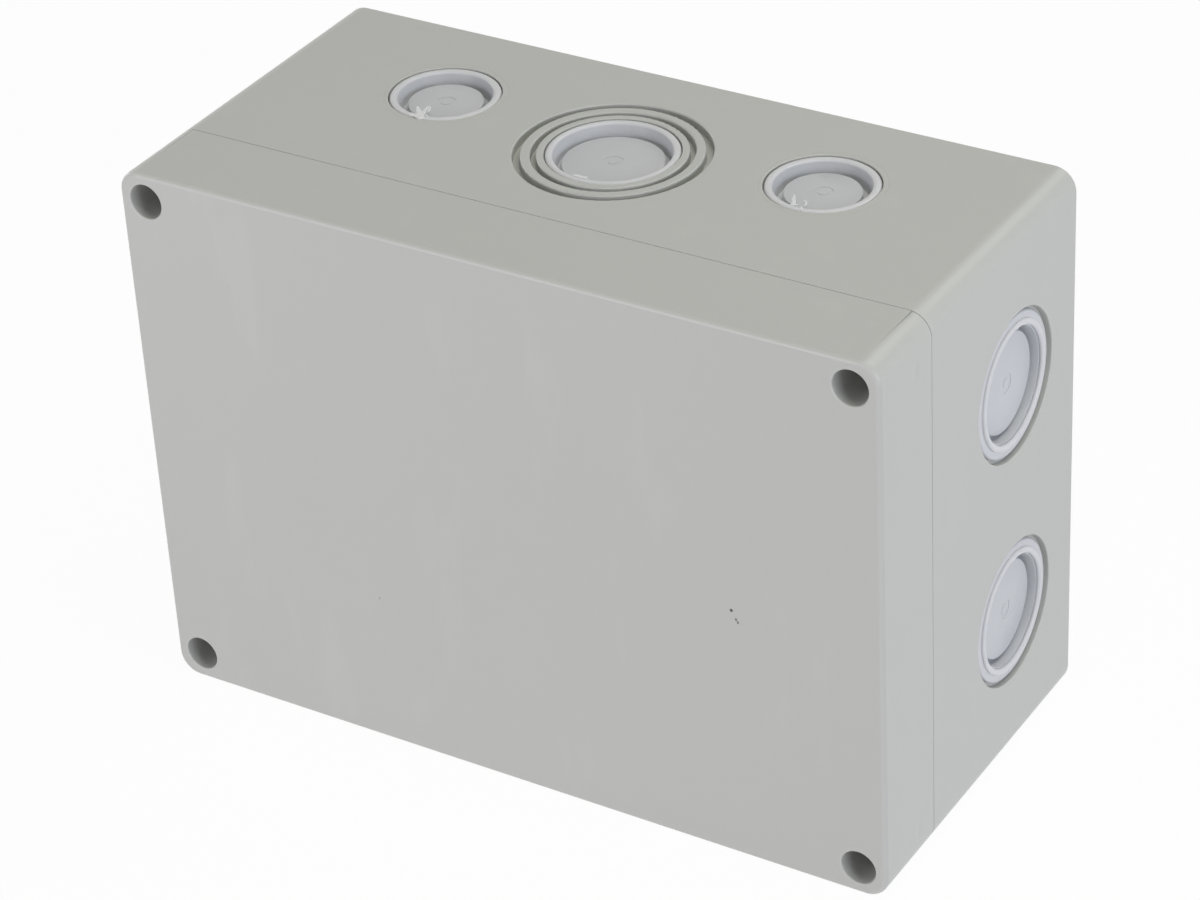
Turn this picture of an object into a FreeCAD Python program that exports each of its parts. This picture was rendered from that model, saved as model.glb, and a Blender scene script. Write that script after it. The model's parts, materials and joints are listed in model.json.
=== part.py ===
import FreeCAD, Part
import math
import os
import re
import Sketcher

# Junction box for joining cables: a moulded case with ten sealed cable entries, a deep lid held by four screws
# and a five-pole terminal strip on the floor. The box stands on its long side wall: +X runs along the width,
# -Y points out of the lid, +Z is up, and the origin is the middle of the wall that it stands on.
# Every enclosure piece is drawn as it lies on a bench, back down: x width, y height, z depth from the back.

SIZES = [
    # the case as a whole
    ("box_width", 176, "outer width"),
    ("box_height", 126, "outer height"),
    ("box_depth", 85, "back to front of the lid"),
    ("lid_depth", 21, "seam to front of the lid"),
    ("corner_radius", 5, "the four edges that run from back to front"),
    ("wall", 3.4, "side walls of case and lid"),
    ("floor_thickness", 3, "back of the case"),
    ("front_thickness", 2.8, "front of the lid"),
    ("front_edge_radius", 1.1, "rim of the lid's front"),
    ("back_edge_radius", 0.8, "rim of the case's back"),
    ("pillar_cover", 4.6, "lid screw axis to the slanted inner face of its corner pillar"),
    ("inner_corner_radius", 2, "corners of the hollow"),
    ("seam_gap", 0.15, "between case rim and lid rim"),
    # seal between case and lid
    ("seal_inset", 1.15, "outer face to the seal groove"),
    ("seal_groove_width", 1.4, "groove in the lid's rim"),
    ("seal_groove_depth", 2.8, "groove in the lid's rim"),
    ("seal_thickness", 1.4, "seal, front to back"),
    ("seal_clearance", 0.05, "seal to each side of its groove"),
    ("tongue_clearance", 0.2, "case tongue to each side of the groove"),
    ("tongue_gap", 0.15, "tongue to the seal"),
    # lid screws
    ("screw_inset", 6.4, "screw axis to the two outer faces beside it"),
    ("well_radius", 3.9, "screw well in the lid"),
    ("well_mouth_radius", 0.35, "rounded mouth of the well"),
    ("head_depth", 15.4, "front of the lid to the seat of the screw head"),
    ("screw_radius", 2, "lid screw shank"),
    ("screw_length", 20, "lid screw under its head"),
    ("screw_head_radius", 3.5, "lid screw head"),
    ("screw_head_height", 2.8, "lid screw head"),
    ("screw_clearance", 0.1, "shank to its holes"),
    ("head_seat_gap", 0.1, "screw head to its seat"),
    ("screw_hole_spare", 3, "hole below the screw's tip"),
    ("drive_span", 4.4, "cross recess, tip to tip"),
    ("drive_width", 1, "cross recess, each slot"),
    ("drive_depth", 1.6, "cross recess"),
    # cable entries: places
    ("entry_height", 27.5, "back to the axes of the outer and side entries"),
    ("centre_entry_height", 34, "back to the axes of the two centre entries"),
    ("entry_spread", 45, "middle to the outer entries of the long walls"),
    ("side_entry_spread", 27.4, "middle to the entries of the short walls"),
    # cable entries: shared section
    ("seat_depth", 1.6, "counterbore that takes a grommet's rim"),
    ("seat_lip_radius", 0.2, "rounded mouth of a counterbore"),
    ("rim_drop", 0.15, "outer face to the top of a rim"),
    ("rim_round", 0.5, "rounded rim edges"),
    ("cup_taper", 0.7, "how far a cup narrows to its trough"),
    ("trough_depth", 4.2, "outer face to the floor of the trough"),
    ("membrane", 1, "skin of a grommet"),
    ("bead_height", 0.8, "snap bead beyond the neck"),
    ("bead_width", 0.9, "snap bead along the axis"),
    ("grommet_clearance", 0.1, "neck to its hole, and bead to the wall"),
    ("gate_radius", 2.2, "round moulding mark in a disc"),
    ("gate_nub_radius", 1.1, "what stays proud in the middle of the mark"),
    ("gate_depth", 0.12, "moulding mark below the disc"),
    # small entries, outer pairs of the long walls
    ("small_seat_radius", 12.1, "counterbore"),
    ("small_hole_radius", 11, "hole"),
    ("small_rim_radius", 11.9, "rim"),
    ("small_cup_radius", 10.2, "cup at its mouth"),
    ("small_disc_radius", 8.05, "piercing disc"),
    ("small_disc_drop", 1.9, "outer face to the disc"),
    ("small_step_radius", 11.3, "raised inner ring of the rim"),
    ("small_step_height", 0.35, "raised inner ring of the rim"),
    # centre entries of the long walls
    ("centre_seat_radius", 14.2, "counterbore"),
    ("centre_hole_radius", 13.4, "hole"),
    ("centre_rim_radius", 14, "rim"),
    ("centre_cup_radius", 12.5, "cup at its mouth"),
    ("centre_disc_radius", 10.75, "piercing disc"),
    ("centre_disc_drop", 2.4, "outer face to the disc"),
    # knock-out rings round the centre entries
    ("inner_land_width", 1.6, "counterbore to the inner ring groove"),
    ("inner_ring_width", 1.2, "inner ring groove"),
    ("outer_land_width", 2.1, "inner ring groove to the outer one"),
    ("outer_ring_width", 1.6, "outer ring groove"),
    ("ring_depth", 2.2, "ring grooves"),
    ("ring_lip_radius", 0.4, "rounded edges of the ring grooves"),
    # side entries, two in each short wall
    ("side_seat_radius", 16.5, "counterbore"),
    ("side_hole_radius", 14.7, "hole"),
    ("side_rim_radius", 15.7, "rim"),
    ("side_cup_radius", 12.6, "cup at its mouth"),
    ("side_disc_radius", 10.9, "piercing disc"),
    ("side_disc_drop", 2.2, "outer face to the disc"),
    ("side_step_radius", 13.9, "raised inner ring of the rim"),
    ("side_step_height", 0.5, "raised inner ring of the rim"),
    ("side_ledge_width", 0.35, "ledge inside the mouth of the cup"),
    ("side_ledge_drop", 1, "outer face to the ledge"),
    # wall fixing
    ("fixing_spread_x", 64, "middle to the wall-fixing holes, along the width"),
    ("fixing_spread_y", 42, "middle to the wall-fixing holes, along the height"),
    ("fixing_hole_radius", 2.25, "wall-fixing hole"),
    ("fixing_collar_radius", 5, "collar round a wall-fixing hole"),
    ("fixing_collar_height", 3, "collar above the floor"),
    # terminal strip
    ("pole_pitch", 12, "pole to pole"),
    ("strip_width", 22, "strip across its poles"),
    ("strip_base_height", 10.6, "strip's bar"),
    ("strip_end", 1.5, "bar beyond the outer poles' half pitch"),
    ("strip_edge_radius", 1, "upright edges of the bar"),
    ("strip_top_radius", 0.5, "upper rim of the bar"),
    ("tower_radius", 3.6, "tower round a clamp screw"),
    ("tower_height", 5.8, "tower above the bar"),
    ("tower_rim_radius", 0.4, "rounded rim of a tower"),
    ("boss_height", 8, "floor to the underside of the strip"),
    ("boss_radius", 4.2, "boss under a strip screw"),
    ("wire_axis_height", 5.6, "underside of the strip to the wire bores"),
    ("terminal_radius", 3.2, "brass terminal"),
    ("terminal_bore_radius", 2, "wire bore"),
    ("terminal_length", 18, "brass terminal"),
    ("terminal_clearance", 0.1, "terminal to the strip"),
    ("clamp_spread", 5, "middle of a terminal to its clamp screws"),
    ("clamp_radius", 1.5, "clamp screw shank"),
    ("clamp_clearance", 0.05, "clamp screw to its thread"),
    ("clamp_bite", 0.5, "clamp screw tip inside the wire bore"),
    ("clamp_head_radius", 2, "clamp screw head"),
    ("clamp_head_height", 2.2, "clamp screw head"),
    ("clamp_head_gap", 3, "clamp screw head above the brass, the way it has left to tighten"),
    ("clamp_well_clearance", 0.3, "clamp screw head to its tower"),
    ("slot_width", 0.6, "driver slot"),
    ("slot_depth", 0.9, "driver slot"),
    # screws that hold the strip
    ("strip_screw_radius", 1.5, "shank"),
    ("strip_screw_length", 16, "under the head"),
    ("strip_screw_head_radius", 2.8, "head"),
    ("strip_screw_head_height", 1.8, "head"),
    ("strip_screw_spread", 18, "middle to each screw"),
    ("strip_screw_clearance", 0.1, "shank to its holes"),
    ("strip_hole_spare", 1, "hole below the screw's tip"),
]

POLES = 5
CORNERS = {"upper_left": (-1, 1), "upper_right": (1, 1), "lower_left": (-1, -1), "lower_right": (1, -1)}

doc = FreeCAD.newDocument("junction_box")
sheet = doc.addObject("Spreadsheet::Sheet", "sizes")
for row, (alias, number, meaning) in enumerate(SIZES, start=1):
    sheet.set("A%d" % row, meaning)
    sheet.set("B%d" % row, str(number))
    sheet.setAlias("B%d" % row, alias)
doc.recompute()


def formula(text):
    """A formula over the sheet's aliases, spelled as the document wants it."""
    return re.sub("[a-z_]+", lambda word: "sizes." + word.group(), text)


def value(text):
    """The number that a formula gives."""
    return float(sheet.evalExpression(formula(text)))


# Formulas that several pieces share.
SEAM = "box_depth - lid_depth"
SCREW_X = "(box_width / 2 - screw_inset)"
SCREW_Y = "(box_height / 2 - screw_inset)"
SEAT = "(box_depth - head_depth)"
STRIP_BOTTOM = "(floor_thickness + boss_height)"
STRIP_LENGTH = "(%d * pole_pitch + 2 * strip_end)" % POLES
WIRE_AXIS = "(floor_thickness + boss_height + wire_axis_height)"
CLAMP_SEAT = "(floor_thickness + boss_height + wire_axis_height + terminal_radius + clamp_head_gap)"


# ---- Sketching ----

def sketch_on(body, name, plane="XY_Plane", offset="0"):
    """New sketch on one of the body's own origin planes, lifted off it by a formula."""
    sketch = body.newObject("Sketcher::SketchObject", body.Name + "_" + name)
    origin_plane = next(item for item in body.Origin.OriginFeatures if item.Role == plane)
    sketch.AttachmentSupport = [(origin_plane, "")]
    sketch.MapMode = "FlatFace"
    if offset != "0":
        sketch.setExpression("AttachmentOffset.Base.z", formula(offset))
    return sketch


def bind(sketch, constraint, text):
    """Add a dimension and tie it to its formula."""
    index = sketch.addConstraint(constraint)
    sketch.setExpression("Constraints[%d]" % index, formula(text))


def pin_point(sketch, item, end, x, y):
    """Hold a point at the place that two formulas give."""
    if x == "0":
        sketch.addConstraint(Sketcher.Constraint("PointOnObject", item, end, -2))
    else:
        bind(sketch, Sketcher.Constraint("DistanceX", -1, 1, item, end, value(x)), x)
    if y == "0":
        sketch.addConstraint(Sketcher.Constraint("PointOnObject", item, end, -1))
    else:
        bind(sketch, Sketcher.Constraint("DistanceY", -1, 1, item, end, value(y)), y)


def circle(sketch, x, y, radius):
    """Circle whose centre and radius are formulas."""
    centre = FreeCAD.Vector(value(x), value(y), 0)
    item = sketch.addGeometry(Part.Circle(centre, FreeCAD.Vector(0, 0, 1), value(radius)))
    pin_point(sketch, item, 3, x, y)
    bind(sketch, Sketcher.Constraint("Radius", item, value(radius)), radius)


def outline(sketch, corners):
    """Closed outline of straight runs. A corner is (x, y) or (x, y, radius), each a formula."""
    spots = [FreeCAD.Vector(value(corner[0]), value(corner[1]), 0) for corner in corners]
    count = len(corners)
    starts, ends, arcs = list(spots), list(spots), {}
    for i, corner in enumerate(corners):
        if len(corner) < 3:
            continue
        back = (spots[i - 1] - spots[i]).normalize()
        ahead = (spots[(i + 1) % count] - spots[i]).normalize()
        half = back.getAngle(ahead) / 2
        radius = value(corner[2])
        centre = spots[i] + (back + ahead).normalize() * (radius / math.sin(half))
        ends[i] = spots[i] + back * (radius / math.tan(half))
        starts[i] = spots[i] + ahead * (radius / math.tan(half))
        left_turn = back.cross(ahead).z < 0
        first, last = (ends[i], starts[i]) if left_turn else (starts[i], ends[i])
        angles = [math.atan2(spot.y - centre.y, spot.x - centre.x) for spot in (first, last)]
        if angles[1] < angles[0]:
            angles[1] += 2 * math.pi
        arcs[i] = (Part.ArcOfCircle(Part.Circle(centre, FreeCAD.Vector(0, 0, 1), radius), *angles), left_turn)
    lines = []
    for i in range(count):
        lines.append(sketch.addGeometry(Part.LineSegment(starts[i], ends[(i + 1) % count])))
    for i, corner in enumerate(corners):
        before, after = lines[i - 1], lines[i]
        if i not in arcs:
            sketch.addConstraint(Sketcher.Constraint("Coincident", before, 2, after, 1))
            pin_point(sketch, after, 1, corner[0], corner[1])
            continue
        arc, left_turn = arcs[i]
        item = sketch.addGeometry(arc)
        near, far = (1, 2) if left_turn else (2, 1)
        sketch.addConstraint(Sketcher.Constraint("Tangent", before, 2, item, near))
        sketch.addConstraint(Sketcher.Constraint("Tangent", after, 1, item, far))
        bind(sketch, Sketcher.Constraint("Radius", item, value(corner[2])), corner[2])
        corner_point = sketch.addGeometry(Part.Point(spots[i]), True)
        sketch.addConstraint(Sketcher.Constraint("PointOnObject", corner_point, 1, before))
        sketch.addConstraint(Sketcher.Constraint("PointOnObject", corner_point, 1, after))
        pin_point(sketch, corner_point, 1, corner[0], corner[1])


def rectangle(sketch, half_x, half_y, radius=None):
    """Rectangle round the origin, with rounded corners where a radius is given."""
    tail = (radius,) if radius else ()
    places = [(-1, -1), (1, -1), (1, 1), (-1, 1)]
    outline(sketch, [("%d * (%s)" % (i, half_x), "%d * (%s)" % (j, half_y)) + tail for i, j in places])


def hollow_outline(sketch, inset, radius):
    """Rectangle with slanted corners that pass inside the lid screws, drawn at an inset from the outer faces."""
    half_x, half_y = "(box_width / 2 - (%s))" % inset, "(box_height / 2 - (%s))" % inset
    cover = "(pillar_cover + (%s) - wall)" % inset
    cut = "(2 * screw_inset - 2 * (%s) + %s * 1.41421356)" % (inset, cover)
    corners = []
    for i, j, x_first in ((1, -1, False), (1, 1, True), (-1, 1, False), (-1, -1, True)):
        along_x = ("%d * (%s - %s)" % (i, half_x, cut), "%d * %s" % (j, half_y), radius)
        along_y = ("%d * %s" % (i, half_x), "%d * (%s - %s)" % (j, half_y, cut), radius)
        corners += [along_y, along_x] if x_first else [along_x, along_y]
    outline(sketch, corners)


# ---- Features ----

def new_body(name):
    return doc.addObject("PartDesign::Body", name)


def pad(body, sketch, length, name):
    feature = body.newObject("PartDesign::Pad", body.Name + "_" + name)
    feature.Profile = sketch
    feature.setExpression("Length", formula(length))
    return checked(feature)


def pocket(body, sketch, length, name, away=False):
    """Cut against the sketch's normal, or along it where away is set. The cut has to remove something."""
    before = body.Shape.Volume
    feature = body.newObject("PartDesign::Pocket", body.Name + "_" + name)
    feature.Profile = sketch
    feature.Reversed = away
    feature.setExpression("Length", formula(length))
    checked(feature)
    if not feature.Shape.Volume < before - 1e-6:
        raise RuntimeError(feature.Name + " cuts nothing")
    return feature


def revolve(body, sketch, name):
    feature = body.newObject("PartDesign::Revolution", body.Name + "_" + name)
    feature.Profile = sketch
    feature.ReferenceAxis = (sketch, ["V_Axis"])
    feature.Angle = 360
    return checked(feature)


def round_edges(body, edges, radius, name):
    base = body.Tip
    feature = body.newObject("PartDesign::Fillet", body.Name + "_" + name)
    feature.Base = (base, edges)
    feature.setExpression("Radius", formula(radius))
    return checked(feature)


def mirror(body, originals, plane, name):
    feature = body.newObject("PartDesign::Mirrored", body.Name + "_" + name)
    feature.Originals = originals
    origin_plane = next(item for item in body.Origin.OriginFeatures if item.Role == plane)
    feature.MirrorPlane = (origin_plane, [""])
    body.Tip = feature
    return checked(feature)


def row_of(body, original, count, length, name):
    """Copies along X, evenly spread over a length."""
    feature = body.newObject("PartDesign::LinearPattern", body.Name + "_" + name)
    feature.Originals = [original]
    axis = next(item for item in body.Origin.OriginFeatures if item.Role == "X_Axis")
    feature.Direction = (axis, [""])
    feature.Occurrences = count
    feature.setExpression("Length", formula(length))
    body.Tip = feature
    return checked(feature)


def checked(feature):
    """Work the feature out at once, so that a failed one is known by its name."""
    doc.recompute()
    if "Invalid" in feature.State or "Error" in feature.State or feature.Shape.isNull():
        raise RuntimeError(feature.Name + " failed")
    return feature


def edges_at(body, level, radius=None, axis="Z"):
    """Edges of the tip in the plane at a level of an axis: all of them, or the circles of a radius."""
    names = []
    for number, edge in enumerate(body.Tip.Shape.Edges, start=1):
        box = edge.BoundBox
        ends = (getattr(box, axis + "Min"), getattr(box, axis + "Max"))
        if max(abs(end - level) for end in ends) > 1e-4:
            continue
        round_edge = isinstance(edge.Curve, Part.Circle)
        if radius is None or round_edge and abs(edge.Curve.Radius - radius) < 1e-4:
            names.append("Edge%d" % number)
    return names


def round_mouths(body, axis, half_span, openings, radius, name):
    """Round the circles of the given radii in the two outer faces across an axis."""
    edges = []
    for side in (-1, 1):
        for opening in openings:
            edges += edges_at(body, side * value(half_span), value(opening), axis)
    round_edges(body, edges, radius, name)


# ---- Placing ----

BENCH_TO_WALL = FreeCAD.Rotation(FreeCAD.Vector(1, 0, 0), 90)
FACING = {
    "top": FreeCAD.Rotation(),
    "bottom": FreeCAD.Rotation(FreeCAD.Vector(1, 0, 0), 180),
    "right": FreeCAD.Rotation(FreeCAD.Vector(0, 1, 0), 90),
    "left": FreeCAD.Rotation(FreeCAD.Vector(0, 1, 0), -90),
}


def place(body, x="0", y="0", depth="0", rotation=BENCH_TO_WALL):
    """Stand a piece in the box. x and y are measured from the middle, depth from the back."""
    body.Placement = FreeCAD.Placement(FreeCAD.Vector(), rotation)
    body.setExpression("Placement.Base.x", formula(x))
    body.setExpression("Placement.Base.y", formula("box_depth / 2 - (%s)" % depth))
    body.setExpression("Placement.Base.z", formula("box_height / 2 + (%s)" % y))


def four(sketch, x, y, radius):
    """One circle in each quarter."""
    for i, j in CORNERS.values():
        circle(sketch, "%d * %s" % (i, x), "%d * %s" % (j, y), radius)


# ---- Case ----

def make_base_box():
    body = new_body("base_box")
    place(body)
    sketch = sketch_on(body, "outer")
    rectangle(sketch, "box_width / 2", "box_height / 2", "corner_radius")
    pad(body, sketch, SEAM, "block")
    round_edges(body, edges_at(body, 0), "back_edge_radius", "back_rim")
    sketch = sketch_on(body, "hollow", offset=SEAM)
    hollow_outline(sketch, "wall", "inner_corner_radius")
    pocket(body, sketch, SEAM + " - floor_thickness", "cavity")
    add_tongue(body)
    add_floor(body)
    add_long_wall_entries(body)
    add_short_wall_entries(body)
    return body


def add_tongue(body):
    """Rim tongue that presses on the seal in the lid's groove."""
    sketch = sketch_on(body, "tongue", offset=SEAM)
    for side in ("seal_inset + tongue_clearance", "seal_inset + seal_groove_width - tongue_clearance"):
        hollow_outline(sketch, side, "inner_corner_radius")
    height = "seal_groove_depth + seam_gap - seal_thickness - tongue_gap"
    pad(body, sketch, height, "tongue_ring")
    sketch = sketch_on(body, "pillars", offset=SEAM)
    four(sketch, SCREW_X, SCREW_Y, "screw_radius + screw_clearance")
    depth = "screw_length + screw_hole_spare - (lid_depth - head_depth)"
    pocket(body, sketch, depth, "screw_holes")


def add_floor(body):
    """Collared wall-fixing holes and the two bosses under the terminal strip."""
    sketch = sketch_on(body, "collars", offset="floor_thickness")
    four(sketch, "fixing_spread_x", "fixing_spread_y", "fixing_collar_radius")
    pad(body, sketch, "fixing_collar_height", "fixing_collars")
    sketch = sketch_on(body, "bosses", offset="floor_thickness")
    for i in (-1, 1):
        circle(sketch, "%d * strip_screw_spread" % i, "0", "boss_radius")
    pad(body, sketch, "boss_height", "strip_bosses")
    sketch = sketch_on(body, "fixings", offset="floor_thickness + fixing_collar_height")
    four(sketch, "fixing_spread_x", "fixing_spread_y", "fixing_hole_radius")
    pocket(body, sketch, "floor_thickness + fixing_collar_height", "fixing_holes")
    sketch = sketch_on(body, "pilots", offset=STRIP_BOTTOM)
    for i in (-1, 1):
        circle(sketch, "%d * strip_screw_spread" % i, "0", "strip_screw_radius + strip_screw_clearance")
    pocket(body, sketch, "strip_screw_length - strip_base_height + strip_hole_spare", "pilot_holes")


def add_long_wall_entries(body):
    """Holes, rim seats and knock-out rings of the top wall, mirrored to the bottom wall."""
    face = "-box_height / 2"
    places = [("-entry_spread", "entry_height", "small"), ("0", "centre_entry_height", "centre"),
              ("entry_spread", "entry_height", "small")]
    sketch = sketch_on(body, "long_holes", "XZ_Plane", face)
    for x, depth, size in places:
        circle(sketch, x, depth, size + "_hole_radius")
    holes = pocket(body, sketch, "wall", "long_wall_holes", away=True)
    sketch = sketch_on(body, "long_seats", "XZ_Plane", face)
    for x, depth, size in places:
        circle(sketch, x, depth, size + "_seat_radius")
    seats = pocket(body, sketch, "seat_depth", "long_wall_seats", away=True)
    sketch = sketch_on(body, "rings", "XZ_Plane", face)
    ring_edges = []
    radius = "centre_seat_radius"
    for step in ("inner_land", "inner_ring", "outer_land", "outer_ring"):
        radius += " + %s_width" % step
        ring_edges.append(radius)
        circle(sketch, "0", "centre_entry_height", radius)
    rings = pocket(body, sketch, "ring_depth", "knock_out_rings", away=True)
    mirror(body, [holes, seats, rings], "XZ_Plane", "other_long_wall")
    seat_edges = ["small_seat_radius", "centre_seat_radius"]
    round_mouths(body, "Y", "box_height / 2", seat_edges, "seat_lip_radius", "long_wall_seat_lips")
    round_mouths(body, "Y", "box_height / 2", ring_edges, "ring_lip_radius", "ring_lips")


def add_short_wall_entries(body):
    """Holes and rim seats of the right wall, mirrored to the left wall."""
    face = "box_width / 2"
    cuts = []
    for name, radius, depth in (("holes", "side_hole_radius", "wall"), ("seats", "side_seat_radius", "seat_depth")):
        sketch = sketch_on(body, "short_" + name, "YZ_Plane", face)
        for j in (-1, 1):
            circle(sketch, "%d * side_entry_spread" % j, "entry_height", radius)
        cuts.append(pocket(body, sketch, depth, "short_wall_" + name))
    mirror(body, cuts, "YZ_Plane", "other_short_wall")
    seat_edges = ["side_seat_radius"]
    round_mouths(body, "X", "box_width / 2", seat_edges, "seat_lip_radius", "short_wall_seat_lips")


# ---- Lid ----

def make_lid():
    body = new_body("lid")
    place(body)
    rim = SEAM + " + seam_gap"
    sketch = sketch_on(body, "outer", offset=rim)
    rectangle(sketch, "box_width / 2", "box_height / 2", "corner_radius")
    pad(body, sketch, "lid_depth - seam_gap", "block")
    round_edges(body, edges_at(body, value("box_depth")), "front_edge_radius", "front_rim")
    sketch = sketch_on(body, "hollow", offset=rim)
    hollow_outline(sketch, "wall", "inner_corner_radius")
    pocket(body, sketch, "lid_depth - seam_gap - front_thickness", "cavity", away=True)
    sketch = sketch_on(body, "seal_groove", offset=rim)
    for inset in ("seal_inset", "seal_inset + seal_groove_width"):
        hollow_outline(sketch, inset, "inner_corner_radius")
    pocket(body, sketch, "seal_groove_depth", "groove", away=True)
    sketch = sketch_on(body, "wells", offset="box_depth")
    four(sketch, SCREW_X, SCREW_Y, "well_radius")
    pocket(body, sketch, "head_depth", "screw_wells")
    sketch = sketch_on(body, "shank_holes", offset=SEAT)
    four(sketch, SCREW_X, SCREW_Y, "screw_radius + screw_clearance")
    pocket(body, sketch, "lid_depth - seam_gap - head_depth", "screw_holes")
    mouths = edges_at(body, value("box_depth"), value("well_radius"))
    round_edges(body, mouths, "well_mouth_radius", "well_mouths")
    return body


def make_lid_seal():
    body = new_body("lid_seal")
    place(body)
    sketch = sketch_on(body, "ring", offset=SEAM + " + seam_gap + seal_groove_depth - seal_thickness")
    for side in ("seal_inset + seal_clearance", "seal_inset + seal_groove_width - seal_clearance"):
        hollow_outline(sketch, side, "inner_corner_radius")
    pad(body, sketch, "seal_thickness", "cord")
    return body


# ---- Screws ----

def screw_profile(body, radius, length, head_radius, head_height, tip):
    """Screw drawn with its head seat at z = 0 and its tip below."""
    sketch = sketch_on(body, "profile", "XZ_Plane")
    outline(sketch, [
        ("0", head_height),
        (head_radius, head_height, "0.25 * (%s)" % head_height),
        (head_radius, "0"),
        (radius, "0"),
        (radius, "-(%s) + %s" % (length, tip)),
        ("(%s) / 2" % radius, "-(%s)" % length),
        ("0", "-(%s)" % length),
    ])
    revolve(body, sketch, "turned")


def make_lid_screw(corner):
    body = new_body("lid_screw_" + corner)
    i, j = CORNERS[corner]
    place(body, "%d * %s" % (i, SCREW_X), "%d * %s" % (j, SCREW_Y), SEAT + " + head_seat_gap")
    screw_profile(body, "screw_radius", "screw_length", "screw_head_radius", "screw_head_height", "screw_radius")
    sketch = sketch_on(body, "cross", offset="screw_head_height")
    long_half, short_half = "drive_span / 2", "drive_width / 2"
    arms = [(1, 0), (0, 1), (-1, 0), (0, -1)]
    corners = []
    for a, b in arms:
        tip_x = "%d * %s" % (a, long_half)
        tip_y = "%d * %s" % (b, long_half)
        side_x = "%d * %s" % (b, short_half)
        side_y = "%d * %s" % (a, short_half)
        corners.append((tip_x + " + " + side_x, tip_y + " - " + side_y))
        corners.append((tip_x + " - " + side_x, tip_y + " + " + side_y))
        corners.append(("%d * %s" % (a - b, short_half), "%d * %s" % (a + b, short_half)))
    outline(sketch, corners)
    pocket(body, sketch, "drive_depth", "cross_recess")
    return body


def make_strip_screw(name, side):
    body = new_body("strip_screw_" + name)
    place(body, "%d * strip_screw_spread" % side, "0", STRIP_BOTTOM + " + strip_base_height")
    screw_profile(body, "strip_screw_radius", "strip_screw_length", "strip_screw_head_radius",
                  "strip_screw_head_height", "strip_screw_radius")
    cut_slot(body, "strip_screw_head_radius", "strip_screw_head_height")
    return body


def cut_slot(body, head_radius, head_height):
    """Straight driver slot across a screw head."""
    sketch = sketch_on(body, "slot", offset=head_height)
    rectangle(sketch, head_radius + " + slot_width", "slot_width / 2")
    pocket(body, sketch, "slot_depth", "driver_slot")


# ---- Grommets ----

def make_grommet(name, size, wall_name, x="0", y="0", depth="entry_height"):
    """Soft plug: rim in its seat, neck through the wall, snap bead behind it and a cup with a piercing disc."""
    body = new_body("grommet_" + name)
    place(body, x, y, depth, FACING[wall_name])
    rim, cup, disc = size + "_rim_radius", size + "_cup_radius", size + "_disc_radius"
    disc_drop = size + "_disc_drop"
    neck = "%s_hole_radius - grommet_clearance" % size
    behind_wall = "-(wall + grommet_clearance)"
    cup_bottom = "-(trough_depth + membrane)"
    rim_top = [(rim, "-rim_drop", "rim_round")]
    if size != "centre":
        step, step_height = size + "_step_radius", size + "_step_height"
        flange_drop = "-(rim_drop + %s)" % step_height
        rim_top = [(step, "-rim_drop", "0.6 * " + step_height),
                   (step, flange_drop),
                   (rim, flange_drop, "(%s - %s) / 3" % (rim, step))]
    cup_wall = [(cup + " - cup_taper", "-trough_depth")]
    if size == "side":
        cup_wall += [(cup + " - side_ledge_width", "-side_ledge_drop"), (cup, "-side_ledge_drop")]
    sketch = sketch_on(body, "section", "XZ_Plane")
    outline(sketch, [
        ("0", "-" + disc_drop),
        ("gate_nub_radius", "-" + disc_drop),
        ("gate_nub_radius", "-(%s + gate_depth)" % disc_drop),
        ("gate_radius", "-(%s + gate_depth)" % disc_drop),
        ("gate_radius", "-" + disc_drop),
        (disc, "-" + disc_drop, "0.5 * rim_round"),
        (disc, "-trough_depth"),
    ] + cup_wall + [
        (cup, "-rim_drop", "0.8 * rim_round"),
    ] + rim_top + [
        (rim, "-seat_depth"),
        (neck, "-seat_depth"),
        (neck, behind_wall),
        (neck + " + bead_height", behind_wall),
        (neck + " + bead_height", behind_wall + " - bead_width / 2"),
        (neck, behind_wall + " - bead_width"),
        (neck, cup_bottom),
        (disc + " - membrane", cup_bottom),
        (disc + " - membrane", "-%s - membrane" % disc_drop),
        ("0", "-%s - membrane" % disc_drop),
    ])
    revolve(body, sketch, "moulding")
    return body


def make_grommets():
    """Three entries in each long wall and two in each short wall."""
    grommets = []
    for wall_name, side in (("top", "box_height / 2"), ("bottom", "-box_height / 2")):
        for label, x in (("left", "-entry_spread"), ("right", "entry_spread")):
            grommets.append(make_grommet("%s_%s" % (wall_name, label), "small", wall_name, x, side))
        centre = make_grommet(wall_name + "_centre", "centre", wall_name, "0", side, "centre_entry_height")
        grommets.append(centre)
    for wall_name, side in (("left", "-box_width / 2"), ("right", "box_width / 2")):
        for label, y in (("upper", "side_entry_spread"), ("lower", "-side_entry_spread")):
            grommets.append(make_grommet("%s_%s" % (wall_name, label), "side", wall_name, side, y))
    return grommets


# ---- Terminal strip ----

def pole_x(pole):
    """Middle of a pole, counted from 0 at the left."""
    return "%g * pole_pitch" % (pole - (POLES - 1) / 2)


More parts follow.
